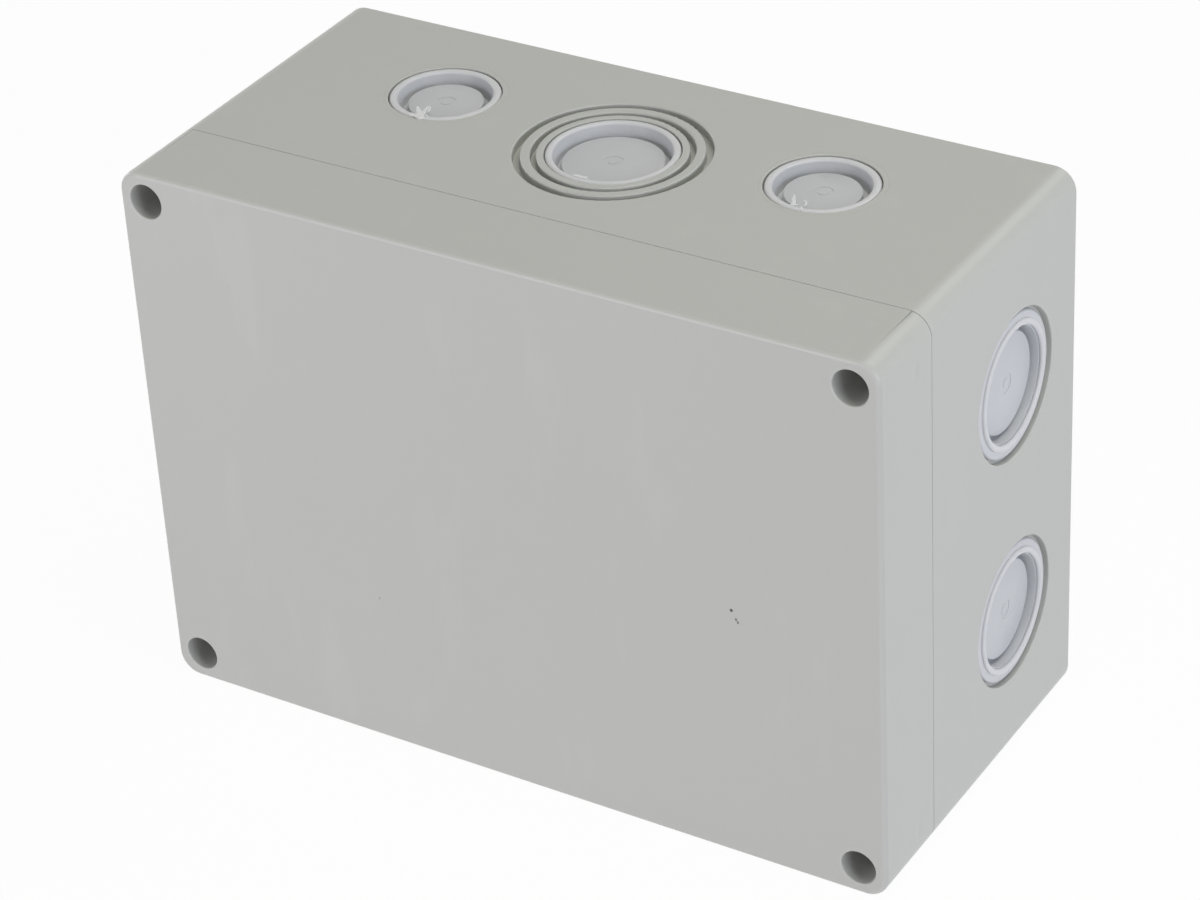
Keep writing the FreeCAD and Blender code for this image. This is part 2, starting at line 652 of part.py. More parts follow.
def make_terminal_strip():
    """Bar with a bore for each brass terminal and a tower round each clamp screw."""
    body = new_body("terminal_strip")
    place(body, depth=STRIP_BOTTOM)
    sketch = sketch_on(body, "bar")
    rectangle(sketch, STRIP_LENGTH + " / 2", "strip_width / 2", "strip_edge_radius")
    pad(body, sketch, "strip_base_height", "block")
    round_edges(body, edges_at(body, value("strip_base_height")), "strip_top_radius", "top_rim")
    run = "%d * pole_pitch" % (POLES - 1)
    first = pole_x(0)
    sketch = sketch_on(body, "towers", offset="strip_base_height")
    for j in (-1, 1):
        circle(sketch, first, "%d * clamp_spread" % j, "tower_radius")
    row_of(body, pad(body, sketch, "tower_height", "first_towers"), POLES, run, "tower_row")
    sketch = sketch_on(body, "bore", "XZ_Plane", "-strip_width / 2")
    circle(sketch, first, "wire_axis_height", "terminal_radius + terminal_clearance")
    row_of(body, pocket(body, sketch, "strip_width", "first_bore", away=True), POLES, run, "bore_row")
    tower_top = "strip_base_height + tower_height"
    rims = edges_at(body, value(tower_top), value("tower_radius"))
    round_edges(body, rims, "tower_rim_radius", "tower_rims")
    sketch = sketch_on(body, "screw_wells", offset=tower_top)
    for j in (-1, 1):
        circle(sketch, first, "%d * clamp_spread" % j, "clamp_head_radius + clamp_well_clearance")
    depth = tower_top + " - wire_axis_height"
    row_of(body, pocket(body, sketch, depth, "first_wells"), POLES, run, "well_row")
    sketch = sketch_on(body, "screw_holes", offset="strip_base_height")
    for i in (-1, 1):
        circle(sketch, "%d * strip_screw_spread" % i, "0", "strip_screw_radius + strip_screw_clearance")
    pocket(body, sketch, "strip_base_height", "fixing_holes")
    return body


def make_terminal(pole):
    """Brass tube with two threaded holes, lying across the strip."""
    body = new_body("terminal_%d" % (pole + 1))
    place(body, pole_x(pole), "0", WIRE_AXIS)
    sketch = sketch_on(body, "tube", "XZ_Plane", "-terminal_length / 2")
    circle(sketch, "0", "0", "terminal_radius")
    circle(sketch, "0", "0", "terminal_bore_radius")
    pad(body, sketch, "terminal_length", "length")
    sketch = sketch_on(body, "threads", offset="terminal_radius")
    for j in (-1, 1):
        circle(sketch, "0", "%d * clamp_spread" % j, "clamp_radius + clamp_clearance")
    pocket(body, sketch, "terminal_radius", "clamp_holes")
    return body


def make_clamp_screw(pole, name, side):
    """Slotted screw that presses a conductor against the floor of its terminal."""
    body = new_body("clamp_screw_%d_%s" % (pole + 1, name))
    place(body, pole_x(pole), "%d * clamp_spread" % side, CLAMP_SEAT)
    length = "clamp_head_gap + terminal_radius - terminal_bore_radius + clamp_bite"
    screw_profile(body, "clamp_radius", length, "clamp_head_radius", "clamp_head_height", "0.3 * clamp_radius")
    cut_slot(body, "clamp_head_radius", "clamp_head_height")
    return body


# ---- Assembly ----

pieces = [make_base_box(), make_lid(), make_lid_seal()]
pieces += [make_lid_screw(corner) for corner in CORNERS]
pieces += make_grommets()
pieces.append(make_terminal_strip())
for pole in range(POLES):
    pieces.append(make_terminal(pole))
    for name, side in (("upper", 1), ("lower", -1)):
        pieces.append(make_clamp_screw(pole, name, side))
for name, side in (("left", -1), ("right", 1)):
    pieces.append(make_strip_screw(name, side))
doc.recompute()

for item in doc.Objects:
    if "Invalid" in item.State or "Error" in item.State:
        raise RuntimeError(item.Name + " failed")
for piece in pieces:
    if piece.Shape.isNull() or not piece.Shape.isValid() or len(piece.Shape.Solids) != 1:
        raise RuntimeError(piece.Name + " is not one sound solid")

os.makedirs("parts", exist_ok=True)
for piece in pieces:
    piece.Shape.exportStep("parts/%s.step" % piece.Label)
print("%d pieces written" % len(pieces))
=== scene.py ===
# %% [markdown]
# # A junction box, dressed in Blender
# The box is a moulded plastic case with a deep lid, ten soft cable entries and a terminal strip inside. Its real
# sizes come from a CAD model, which is loaded first and never moved. Everything made here is finish: smooth round
# entries, plastic that looks moulded, threads on the screws, and the small marks that moulding leaves.

# %% Load the frame
import json
import math
import bmesh
import bpy
from mathutils import Matrix, Vector


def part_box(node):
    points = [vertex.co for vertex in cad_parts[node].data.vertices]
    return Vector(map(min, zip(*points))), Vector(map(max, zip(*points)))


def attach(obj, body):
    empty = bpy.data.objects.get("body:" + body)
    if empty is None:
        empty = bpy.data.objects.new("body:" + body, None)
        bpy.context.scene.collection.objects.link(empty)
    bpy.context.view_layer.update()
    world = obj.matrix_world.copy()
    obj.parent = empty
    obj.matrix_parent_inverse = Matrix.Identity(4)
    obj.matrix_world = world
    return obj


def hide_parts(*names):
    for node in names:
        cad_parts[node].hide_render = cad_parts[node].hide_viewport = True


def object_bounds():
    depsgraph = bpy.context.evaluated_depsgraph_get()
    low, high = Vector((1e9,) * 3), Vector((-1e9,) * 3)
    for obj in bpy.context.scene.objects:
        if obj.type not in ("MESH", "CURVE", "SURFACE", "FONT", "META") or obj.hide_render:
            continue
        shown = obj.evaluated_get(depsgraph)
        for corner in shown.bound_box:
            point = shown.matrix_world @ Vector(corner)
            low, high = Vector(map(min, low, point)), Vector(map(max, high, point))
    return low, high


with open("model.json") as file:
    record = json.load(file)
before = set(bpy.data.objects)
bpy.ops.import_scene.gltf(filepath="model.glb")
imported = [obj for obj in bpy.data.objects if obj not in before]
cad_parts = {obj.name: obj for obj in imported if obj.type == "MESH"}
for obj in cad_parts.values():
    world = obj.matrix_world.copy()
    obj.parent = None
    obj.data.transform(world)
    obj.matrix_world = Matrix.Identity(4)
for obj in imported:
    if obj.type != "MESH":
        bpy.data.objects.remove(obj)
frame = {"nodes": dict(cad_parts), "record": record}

MM = 0.001
cad_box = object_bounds()
low, high = (Vector(corner) for corner in cad_box)
middle = (low + high) / 2
print("CAD box from", tuple(round(v, 4) for v in low), "to", tuple(round(v, 4) for v in high))

# %% [markdown]
# ## The camera
# A long lens stands well back and looks down at the corner of the box, so the far edges shrink only a little. The
# view has a slight roll, as if the camera were held by hand. It comes first because it decides which details show.

# %% Camera
EYE = Vector((0.38122, -0.59291, 0.50445))
LOOK = Vector((-0.45865, 0.70993, -0.53445))
LENS = 118.43
SENSOR = 36.0
ROLL = math.radians(-3.31)

camera_data = bpy.data.cameras.new("camera")
camera_data.lens = LENS
camera_data.sensor_width = SENSOR
camera_data.sensor_fit = "HORIZONTAL"
camera = bpy.data.objects.new("camera", camera_data)
bpy.context.scene.collection.objects.link(camera)
level = LOOK.to_track_quat("-Z", "Y").to_matrix().to_4x4()
camera.matrix_world = Matrix.Translation(EYE) @ level @ Matrix.Rotation(ROLL, 4, "Z")
bpy.context.scene.camera = camera
print("camera right", [round(v, 4) for v in camera.matrix_world.col[0][:3]])

# %% [markdown]
# ## Plain studio light
# The floor and the world are white where the camera looks at them, and also where glossy plastic mirrors them. For
# all other rays they are ordinary, so the box is lit softly from every side and still leaves its shadow on the
# floor. Three lamps give each face its own level: the right side is the brightest, the top the darkest. They stand
# near enough to face each wall squarely, so that hollows stay dark. Two weaker ones light the left side and the
# back. The Standard view shows colours as they are written.

# %% Light
# name: (place, side of the square, power, tint)
LAMPS = {
    "lamp_front": ((-0.32, -0.78, 0.2), 0.5, 3.1, (0.974, 0.944, 1.0)),
    "lamp_right": ((1.213, -0.325, 0.399), 0.6, 6.7, (0.85, 0.885, 1.0)),
    "lamp_above": ((0.24, -0.10, 0.86), 0.4, 2.25, (1.0, 0.991, 0.87)),
    "lamp_back": ((0.314, 0.864, 0.982), 0.6, 3.0, (1.0, 1.0, 1.0)),
    "lamp_left": ((-1.268, 0.224, 0.244), 0.6, 4.0, (1.0, 1.0, 1.0)),
}


def link_object(name, data):
    """Put a mesh, lamp or curve into the scene."""
    item = bpy.data.objects.new(name, data)
    bpy.context.scene.collection.objects.link(item)
    return item


def softbox(name, place, size, power, tint):
    """A square lamp that faces the middle of the box."""
    data = bpy.data.lights.new(name, "AREA")
    data.size = size
    data.energy = power
    data.color = tint
    lamp = link_object(name, data)
    lamp.location = place
    lamp.rotation_euler = (middle - Vector(place)).to_track_quat("-Z", "Y").to_euler()


for name, lamp in LAMPS.items():
    softbox(name, *lamp)
bpy.context.scene.view_settings.view_transform = "Standard"
print(len(bpy.data.lights), "lamps")

# %% [markdown]
# ## Shader maths in plain expressions
# A material is a graph of nodes. Drawing that graph by hand is slow, and the maths in it hides between the boxes.
# The small class below wraps the output of a node, so that `1 - mask * 0.5` adds the Math nodes by itself. Every
# other kind of node comes from one method, `node`.

# %% Expressions on sockets
class Signal:
    """An output socket on its way through a tree. Arithmetic on it adds Math nodes."""

    def __init__(self, finish, socket):
        self.finish = finish
        self.socket = socket

    def math(self, operation, *values):
        return self.finish.node("Math", dict(enumerate(values)), operation=operation)

    def __add__(self, other):
        return self.math("ADD", self, other)

    def __radd__(self, other):
        return self.math("ADD", other, self)

    def __sub__(self, other):
        return self.math("SUBTRACT", self, other)

    def __rsub__(self, other):
        return self.math("SUBTRACT", other, self)

    def __mul__(self, other):
        return self.math("MULTIPLY", self, other)

    def __truediv__(self, other):
        return self.math("DIVIDE", self, other)

    def __rtruediv__(self, other):
        return self.math("DIVIDE", other, self)

    def below(self, limit, blur):
        """1 where the value is under a limit, 0 above it, with a soft step between."""
        ranged = {0: self, 1: limit - blur, 2: limit + blur, 3: 1.0, 4: 0.0}
        return self.finish.node("MapRange", ranged, interpolation_type="SMOOTHSTEP")


print("a signal answers to", ", ".join(name.strip("_") for name, value in vars(Signal).items() if callable(value)))

# %% [markdown]
# A graph owns the node tree and hands out signals. A finish is a graph that ends in a Principled shader, and the
# patterns that every finish needs are its methods: noise measured in metres, a mix of two colours, a distance and
# a bump.

# %% Graphs and finishes
class Graph:
    """A node tree under construction."""

    families = ("ShaderNode",)

    def node(self, kind, inputs=None, output=0, **settings):
        """Add a node: its settings first, then the values or links of its sockets."""
        family = next(family for family in self.families if hasattr(bpy.types, family + kind))
        made = self.tree.nodes.new(family + kind)
        for name, value in settings.items():
            setattr(made, name, value)
        for name, value in (inputs or {}).items():
            if isinstance(value, Signal):
                self.tree.links.new(value.socket, made.inputs[name])
            else:
                made.inputs[name].default_value = value
        return Signal(self, made.outputs[output]) if made.outputs else made


class Finish(Graph):
    """One material under construction."""

    def __init__(self, name, tree=None):
        if tree is None:
            self.material = bpy.data.materials.new(name)
            self.material.use_nodes = True
            tree = self.material.node_tree
        tree.nodes.clear()
        self.tree = tree

    def coordinates(self):
        return self.node("TexCoord", output="Object")

    def noise(self, size, detail, stretch=None):
        """Noise from 0 to 1 with features of a size in metres."""
        where = self.coordinates()
        if stretch:
            where = self.node("Mapping", {"Vector": where, "Scale": stretch})
        return self.node("TexNoise", {"Vector": where, "Scale": 1 / size, "Detail": detail})

    def blend(self, amount, first, second):
        """Mix two colours."""
        return self.node("Mix", {0: amount, 6: first, 7: second}, output=2, data_type="RGBA")

    def distance(self, first, second):
        return self.node("VectorMath", {0: first, 1: second}, output="Value", operation="DISTANCE")

    def bump(self, height):
        """Normals from a height in metres."""
        return self.node("Bump", {"Height": height, "Distance": 1.0, "Strength": 1.0})

    def surface(self, **sockets):
        """End the tree in a Principled shader. An underscore in a name stands for a space."""
        inputs = {name.replace("_", " "): value for name, value in sockets.items()}
        shader = self.node("BsdfPrincipled", inputs)
        self.node("OutputMaterial", {"Surface": shader})
        return self.material


print("a finish can make", ", ".join(name for name in vars(Finish) if not name.startswith("__")))

# %% [markdown]
# ## Floor and world
# Light Path says what kind of ray asks. Camera, glossy and transmission rays get plain white, and the rest get a
# white that lights the box. The floor glows a little for those too, as a light table does, so that the box's own
# shadow doesn't darken its lower half.

# %% Floor and world
FLOOR_SIZE = 6.0
FLOOR_DROP = 0.0002
WORLD_LEVEL = 0.15
FLOOR_TONE = (0.86, 0.86, 0.86, 1.0)
SHADOW_SHARE = 0.04
GLOW_SHARE = 0.5
WHITE = (1.0, 1.0, 1.0, 1.0)


def seen(finish):
    """1 for the rays that look at the surroundings, 0 for those that light the box."""
    path = {name: finish.node("LightPath", output=name) for name in
            ("Is Camera Ray", "Is Glossy Ray", "Is Transmission Ray")}
    total = path["Is Camera Ray"] + path["Is Glossy Ray"] + path["Is Transmission Ray"]
    return total.math("MINIMUM", total, 1.0)


def build_world():
    """White to look at, dim as a light."""
    world = bpy.data.worlds.new("studio")
    bpy.context.scene.world = world
    world.use_nodes = True
    finish = Finish("studio", world.node_tree)
    level_now = seen(finish) * (1 - WORLD_LEVEL) + WORLD_LEVEL
    sky = finish.node("Background", {"Color": WHITE, "Strength": level_now})
    finish.node("OutputWorld", {"Surface": sky})


def build_floor():
    """A wide white sheet just under the box."""
    mesh = bpy.data.meshes.new("floor")
    half = FLOOR_SIZE / 2
    z = low.z - FLOOR_DROP
    corners = [(-half, -half, z), (half, -half, z), (half, half, z), (-half, half, z)]
    mesh.from_pydata(corners, [], [(0, 1, 2, 3)])
    finish = Finish("floor_white")
    shaded = finish.node("BsdfDiffuse", {"Color": FLOOR_TONE})
    plain = finish.node("Emission", {"Color": WHITE, "Strength": 1.0})
    factor = seen(finish) * (1 - SHADOW_SHARE - GLOW_SHARE) + GLOW_SHARE
    finish.node("OutputMaterial", {"Surface": finish.node("MixShader", {0: factor, 1: shaded, 2: plain})})
    mesh.materials.append(finish.material)
    link_object("floor", mesh)


build_world()
build_floor()
print("world level", WORLD_LEVEL)

# %% [markdown]
# ## Moulded plastic
# The case and lid are one light warm grey, moulded right through. Such plastic is smooth but never perfect: the
# mould's polish gives a slow waviness, its core pins leave a fine ring round each outer entry, and handling leaves
# pale dust, tiny specks and a few dark marks on the lid. All of that is smaller than a mesh should carry, so it is
# a pattern on Object coordinates, measured in metres. A painted image could do it too, but it would be tied to one
# size and one unwrapping.

# %% Case plastic
CASE_GREY = (0.485, 0.492, 0.468, 1.0)
CASE_PALE = (0.515, 0.521, 0.500, 1.0)
SPECK_BROWN = (0.17, 0.155, 0.13, 1.0)
DUST_PALE = (0.70, 0.70, 0.67, 1.0)
STAIN_DARK = (0.04, 0.04, 0.035, 1.0)
# each mark on the lid's front: (x, z), half width, half height, strength
STAINS = [
    ((-0.0316, 0.0368), 0.00019, 0.00034, 0.35),
    ((0.0542, 0.0608), 0.00036, 0.00036, 0.97),
    ((0.0552, 0.0589), 0.00022, 0.00036, 0.8),
    ((0.0556, 0.0583), 0.00022, 0.00036, 0.8),
    ((-0.0626, 0.1044), 0.00010, 0.00050, 0.2),
]
STAIN_BLUR = 0.35
WITNESS_PLACE = (0.045, 0.015, 0.0)
WITNESS_RADIUS = 0.0131
WITNESS_HALF = 0.00016
WITNESS_BLUR = 0.00008
WITNESS_DEPTH = 0.00005
SPOT_BLUR = 0.3


def specks(finish, spacing, radius, share):
    """Small round spots: some cells of a Voronoi pattern get one, most get none."""
    inputs = {"Vector": finish.coordinates(), "Scale": 1 / spacing}
    near = finish.node("TexVoronoi", inputs, output="Distance")
    cell = finish.node("TexVoronoi", inputs, output="Color")
    chosen = finish.node("SeparateColor", {"Color": cell}).below(share, 0.001)
    return near.below(radius / spacing, SPOT_BLUR * radius / spacing) * chosen


def stains(finish):
    """The single marks on the front of the lid: ovals, made by stretching the distance to a point."""
    total = 0.0
    for (x, z), half_width, half_height, strength in STAINS:
        inputs = {0: finish.coordinates(), 1: (x, low.y, z)}
        offset = finish.node("VectorMath", inputs, operation="SUBTRACT")
        scale = (1 / half_width, 1 / half_height, 1 / half_height)
        offset = finish.node("VectorMath", {0: offset, 1: scale}, operation="MULTIPLY")
        total = finish.distance(offset, (0.0, 0.0, 0.0)).below(1.0, STAIN_BLUR) * strength + total
    return total


def witness_ring(finish):
    """1 in a fine ring round each outer entry of the top and the bottom, which the mould's core pins leave."""
    mirrored = finish.node("VectorMath", {0: finish.coordinates()}, operation="ABSOLUTE")
    part = finish.node("SeparateXYZ", {"Vector": mirrored})
    real = finish.node("SeparateXYZ", {"Vector": finish.coordinates()}, output="Y")
    flat = finish.node("CombineXYZ", {"X": part, "Y": real, "Z": 0.0})
    off_ring = finish.distance(flat, WITNESS_PLACE) - WITNESS_RADIUS
    return off_ring.math("ABSOLUTE", off_ring).below(WITNESS_HALF, WITNESS_BLUR)


def case_plastic():
    """Two greys in slow clouds, with scuffs, specks, dust and marks over them."""
    finish = Finish("case_plastic_finish")
    cloud = finish.noise(size=0.09, detail=2.0)
    scuff = finish.noise(size=0.012, detail=5.0, stretch=(1.0, 1.0, 0.25)).below(limit=0.36, blur=0.06)
    brown_specks = specks(finish, spacing=0.013, radius=0.00022, share=0.12)
    pale_specks = specks(finish, spacing=0.021, radius=0.00030, share=0.10)
    colour = finish.blend(cloud * 0.8, CASE_GREY, CASE_PALE)
    colour = finish.blend(scuff * 0.06, colour, DUST_PALE)
    colour = finish.blend(brown_specks * 0.6, colour, SPECK_BROWN)
    colour = finish.blend(pale_specks * 0.5, colour, DUST_PALE)
    colour = finish.blend(stains(finish), colour, STAIN_DARK)
    grain = finish.noise(size=0.0009, detail=2.0)
    wave = finish.noise(size=0.016, detail=2.0)
    height = wave * 0.00006 + grain * 0.0000022 - witness_ring(finish) * WITNESS_DEPTH
    return finish.surface(
        Base_Color=colour,
        Roughness=0.34 + grain * 0.08 + scuff * 0.06,
        Normal=finish.bump(height),
    )


case_finish = case_plastic()
print("case plastic has", len(case_finish.node_tree.nodes), "nodes")

# %% [markdown]
# ## Soft plastic
# The cable entries are a softer plastic, a little bluer and lighter than the case, with a satin skin that lets
# light in under its surface. Their rims stand outermost, and a paler tone painted on them stands in for the
# highlight that their round beads catch: a painted highlight. The torn skin on them is so thin that it looks
# nearly white.

# %% Soft plastic
GROMMET_TONE = (0.585, 0.595, 0.615, 1.0)
GROMMET_SHADE = (0.53, 0.545, 0.57, 1.0)
# painted highlight: a paler colour on the rims stands in for the light that their round bead catches
GROMMET_PAINTED_HIGHLIGHT = (0.68, 0.685, 0.705, 1.0)
HIGHLIGHT_DEPTH = 0.0006
HIGHLIGHT_BLUR = 0.0003
FLASH_WHITE = (0.93, 0.935, 0.94, 1.0)


def painted_rim_highlight(finish):
    """1 on the rims, where a paler tone paints the highlight of their round bead, and 0 deeper in the walls."""
    off_middle = finish.node("VectorMath", {0: finish.coordinates(), 1: middle}, operation="SUBTRACT")
    mirrored = finish.node("VectorMath", {0: off_middle}, operation="ABSOLUTE")
    depth = finish.node("VectorMath", {0: high - middle, 1: mirrored}, operation="SUBTRACT")
    across = finish.node("SeparateXYZ", {"Vector": depth})
    upward = finish.node("SeparateXYZ", {"Vector": depth}, output="Z")
    return across.math("MINIMUM", across, upward).below(HIGHLIGHT_DEPTH, HIGHLIGHT_BLUR)


def grommet_plastic():
    finish = Finish("grommet_finish")
    cloud = finish.noise(size=0.006, detail=3.0)
    grain = finish.noise(size=0.0006, detail=2.0)
    height = finish.noise(size=0.003, detail=2.0) * 0.00003 + grain * 0.000003
    colour = finish.blend(cloud * 0.6, GROMMET_TONE, GROMMET_SHADE)
    return finish.surface(
        # painted highlight on the rims, blended over the plastic's own colour
        Base_Color=finish.blend(painted_rim_highlight(finish), colour, GROMMET_PAINTED_HIGHLIGHT),
        Roughness=0.38 + grain * 0.1,
        Subsurface_Weight=0.12,
        Subsurface_Radius=(0.6, 0.6, 0.6),
        Subsurface_Scale=0.0012,
        Normal=finish.bump(height),
    )


def flash_plastic():
    finish = Finish("flash_finish")
    grain = finish.noise(size=0.0003, detail=2.0)
    colour = finish.blend(grain, FLASH_WHITE, GROMMET_TONE)
    return finish.surface(Base_Color=colour, Roughness=0.5, Normal=finish.bump(grain * 0.00002))


grommet_finish = grommet_plastic()
flash_finish = flash_plastic()
print("soft plastic has", len(grommet_finish.node_tree.nodes), "nodes")

# %% [markdown]
# ## Metals
# The screws are zinc-plated steel, whose crystals give a fine mottle. The terminals are drawn brass, with lines
# along the way it was drawn and a few dull stains. A metal's colour is the tint of its reflection, so most of its
# look comes from roughness.

# %% Metals
ZINC_LIGHT = (0.66, 0.66, 0.63, 1.0)
ZINC_DARK = (0.48, 0.48, 0.44, 1.0)
BRASS_LIGHT = (0.78, 0.60, 0.30, 1.0)
BRASS_DARK = (0.60, 0.42, 0.18, 1.0)


def zinc():
    finish = Finish("zinc_finish")
    spangle = finish.noise(size=0.0012, detail=4.0)
    lines = finish.noise(size=0.00025, detail=2.0)
    return finish.surface(
        Base_Color=finish.blend(spangle, ZINC_LIGHT, ZINC_DARK),
        Metallic=1.0,
        Roughness=0.24 + spangle * 0.2,
        Normal=finish.bump(lines * 0.000004),
    )


def brass():
    finish = Finish("brass_finish")
    drawn = finish.noise(size=0.0012, detail=3.0, stretch=(1.0, 1.0, 0.06))
    stain = finish.noise(size=0.004, detail=3.0).below(limit=0.42, blur=0.1)
    return finish.surface(
        Base_Color=finish.blend(drawn * 0.5 + stain * 0.4, BRASS_LIGHT, BRASS_DARK),
        Metallic=1.0,
        Roughness=0.2 + drawn * 0.2,
        Normal=finish.bump(drawn * 0.000006),
    )


zinc_finish = zinc()
brass_finish = brass()
print("metals:", zinc_finish.name, "and", brass_finish.name)

# %% [markdown]
# ## Terminal strip and seal
# The strip is off-white polyamide with a matt grain. The seal is a black foam cord, and a Voronoi pattern gives it
# open cells. With these, every material slot of the CAD model has its finish.

# %% Terminal strip and seal
POLYAMIDE = (0.66, 0.655, 0.61, 1.0)
POLYAMIDE_DARK = (0.60, 0.595, 0.545, 1.0)
FOAM_BLACK = (0.022, 0.022, 0.024, 1.0)
FOAM_CELL = 0.0004


def polyamide():
    finish = Finish("polyamide_finish")
    cloud = finish.noise(size=0.008, detail=3.0)
    grain = finish.noise(size=0.0005, detail=2.0)
    return finish.surface(
        Base_Color=finish.blend(cloud, POLYAMIDE, POLYAMIDE_DARK),
        Roughness=0.45 + grain * 0.1,
        Normal=finish.bump(grain * 0.000006),
    )


def seal_foam():
    finish = Finish("foam_finish")
    inputs = {"Vector": finish.coordinates(), "Scale": 1 / FOAM_CELL}
    cells = finish.node("TexVoronoi", inputs, output="Distance")
    return finish.surface(Base_Color=FOAM_BLACK, Roughness=0.9, Normal=finish.bump(cells * 0.00008))


FINISHES = {
    "case_plastic": case_finish,
    "grommet_soft_plastic": grommet_finish,
    "seal_foam": seal_foam(),
    "screw_steel": zinc_finish,
    "strip_plastic": polyamide(),
    "terminal_brass": brass_finish,
}
print("finishes:", ", ".join(FINISHES))

# %% [markdown]
# ## Copies to work on
# A CAD node is never changed. What needs a finer finish is copied, and its loose triangles are merged into one
# skin. Flat patches then become single faces again, so that a bevel finds only the real edges.

# %% Working copies
FLAT = math.radians(0.3)
SHARP = math.radians(35)
LIP_REACH = 0.00045
LIP_SLANT = (0.15, 0.985)
MERGE = 1e-6
FINE_EDGE = 0.4
SEAM_REACH = 0.0003
EDGE_SEGMENTS = 2
BODY_OF = {node: body for body, nodes in frame["record"]["behaviour"]["bodies"].items() for node in nodes}


def merged_copy(node, flatten=True):
    """A node's shape as one closed skin, in the CAD frame."""
    shape = bmesh.new()
    shape.from_mesh(frame["nodes"][node].data)
    bmesh.ops.remove_doubles(shape, verts=shape.verts, dist=MERGE)
    if flatten:
        bmesh.ops.dissolve_limit(shape, angle_limit=FLAT, verts=shape.verts, edges=shape.edges)
    return shape


def on_round_lip(edge):
    """True on the lips of the grooves round the entries, which are round already and want no bevel."""
    near = all(min(abs(end.co.z - low.z), abs(end.co.z - high.z)) < LIP_REACH for end in edge.verts)
    return near and any(LIP_SLANT[0] < abs(face.normal.z) < LIP_SLANT[1] for face in edge.link_faces)


def to_mesh(shape, name, finish, fine_level=None):
    """Close the bmesh and hand its faces one finish, shaded smooth between the sharp edges.

    Sharp edges carry the weight of their bevel: 1, or FINE_EDGE where they lie in the plane y = fine_level.
    """
    for face in shape.faces:
        face.smooth = True
    weight = shape.edges.layers.float.new("bevel_weight_edge")
    for edge in shape.edges:
        folded = edge.is_manifold and edge.calc_face_angle(0.0) > SHARP
        edge.smooth = not folded or on_round_lip(edge)
        fine = fine_level is not None and all(abs(end.co.y - fine_level) < SEAM_REACH for end in edge.verts)
        edge[weight] = 0.0 if edge.smooth else FINE_EDGE if fine else 1.0
    mesh = bpy.data.meshes.new(name)
    shape.to_mesh(mesh)
    shape.free()
    mesh.materials.clear()
    mesh.materials.append(finish)
    return mesh


def settle(piece, body, slot, *nodes):
    """Let a finished piece ride on its body and stand for the nodes it dresses, which it hides."""
    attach(piece, body)
    if nodes:
        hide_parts(*nodes)
    return piece


def soften(piece, width):
    """Take the knife edge off every sharp edge, as a mould does."""
    bevel = piece.modifiers.new("soft_edges", "BEVEL")
    bevel.width = width
    bevel.segments = EDGE_SEGMENTS
    bevel.limit_method = "WEIGHT"
    bevel.use_clamp_overlap = True
    bevel.harden_normals = True
    return piece


print("bodies:", len(set(BODY_OF.values())))

# %% [markdown]
# ## Recipes
# A Geometry Nodes tree is a recipe: it takes sizes by name and gives a shape. It is right for what repeats or
# follows a path, here the ten cable entries and the threads. The recipe runs once for each piece, and its result
# becomes a plain mesh, because an exported model knows nothing of modifiers and instances.

# %% Geometry recipes
KINDS = {
    float: "NodeSocketFloat",
    Vector: "NodeSocketVector",
    bpy.types.Object: "NodeSocketObject",
    bpy.types.Material: "NodeSocketMaterial",
    bpy.types.Mesh: "NodeSocketGeometry",
}


class Recipe(Graph):
    """A Geometry Nodes tree under construction, with named inputs."""

    families = ("GeometryNode", "ShaderNode", "FunctionNode")

    def __init__(self, name):
        self.tree = bpy.data.node_groups.new(name, "GeometryNodeTree")
        self.entrance = self.tree.nodes.new("NodeGroupInput")

    def take(self, name, kind):
        """A named input of the recipe."""
        self.tree.interface.new_socket(name, in_out="INPUT", socket_type=KINDS[kind])
        return Signal(self, self.entrance.outputs[name])

    def serve(self, geometry):
        """End the recipe: real faces with one finish."""
        geometry = self.node("RealizeInstances", {"Geometry": geometry})
        finish = self.take("Finish", bpy.types.Material)
        geometry = self.node("SetMaterial", {"Geometry": geometry, "Material": finish})
        self.tree.interface.new_socket("Result", in_out="OUTPUT", socket_type=KINDS[bpy.types.Mesh])
        way_out = self.tree.nodes.new("NodeGroupOutput")
        self.tree.links.new(geometry.socket, way_out.inputs["Result"])
        return self.tree


def run_recipe(tree, name, base, **values):
    """Run a recipe on a base mesh and keep its result as a plain mesh."""
    helper = link_object(name + "_helper", base)
    modifier = helper.modifiers.new(name, "NODES")
    modifier.node_group = tree
    for socket in tree.interface.items_tree:
        if socket.in_out == "INPUT" and socket.name in values:
            modifier[socket.identifier] = values[socket.name]
    evaluated = helper.evaluated_get(bpy.context.evaluated_depsgraph_get())
    mesh = bpy.data.meshes.new_from_object(evaluated)
    bpy.data.objects.remove(helper)
    mesh.name = name
    return mesh


print("a recipe takes", ", ".join(kind.__name__ for kind in KINDS))

# %% [markdown]
# ## Shallow marks on the lid
# The lid has marks that only its outer skin carries. The plastic sinks a little over the thick seats of the screws
# as it cools, and the mould has an exchangeable plate low on the front, whose edges show. A bump could fake them,
# but they catch light at a low angle, so each is a real lens or tray that a boolean takes away.

# %% Lens and tray
SINK_DEPTH = 0.00011
SINK_LONG, SINK_SHORT = 0.0028, 0.0017
SINK_RINGS, SINK_STEPS = 6, 28
SINK_PROUD = 0.000004
SCREW_INSET = 0.0085
SINK_BEHIND_FRONT = 0.0142
PLATE_HALF = 0.0152
PLATE_LOW, PLATE_HIGH = 0.0053, 0.0190
PLATE_DEPTH = 0.00011
PLATE_SLOPE, PLATE_FADE = 0.00032, 0.003
PLATE_PROUD = 0.001


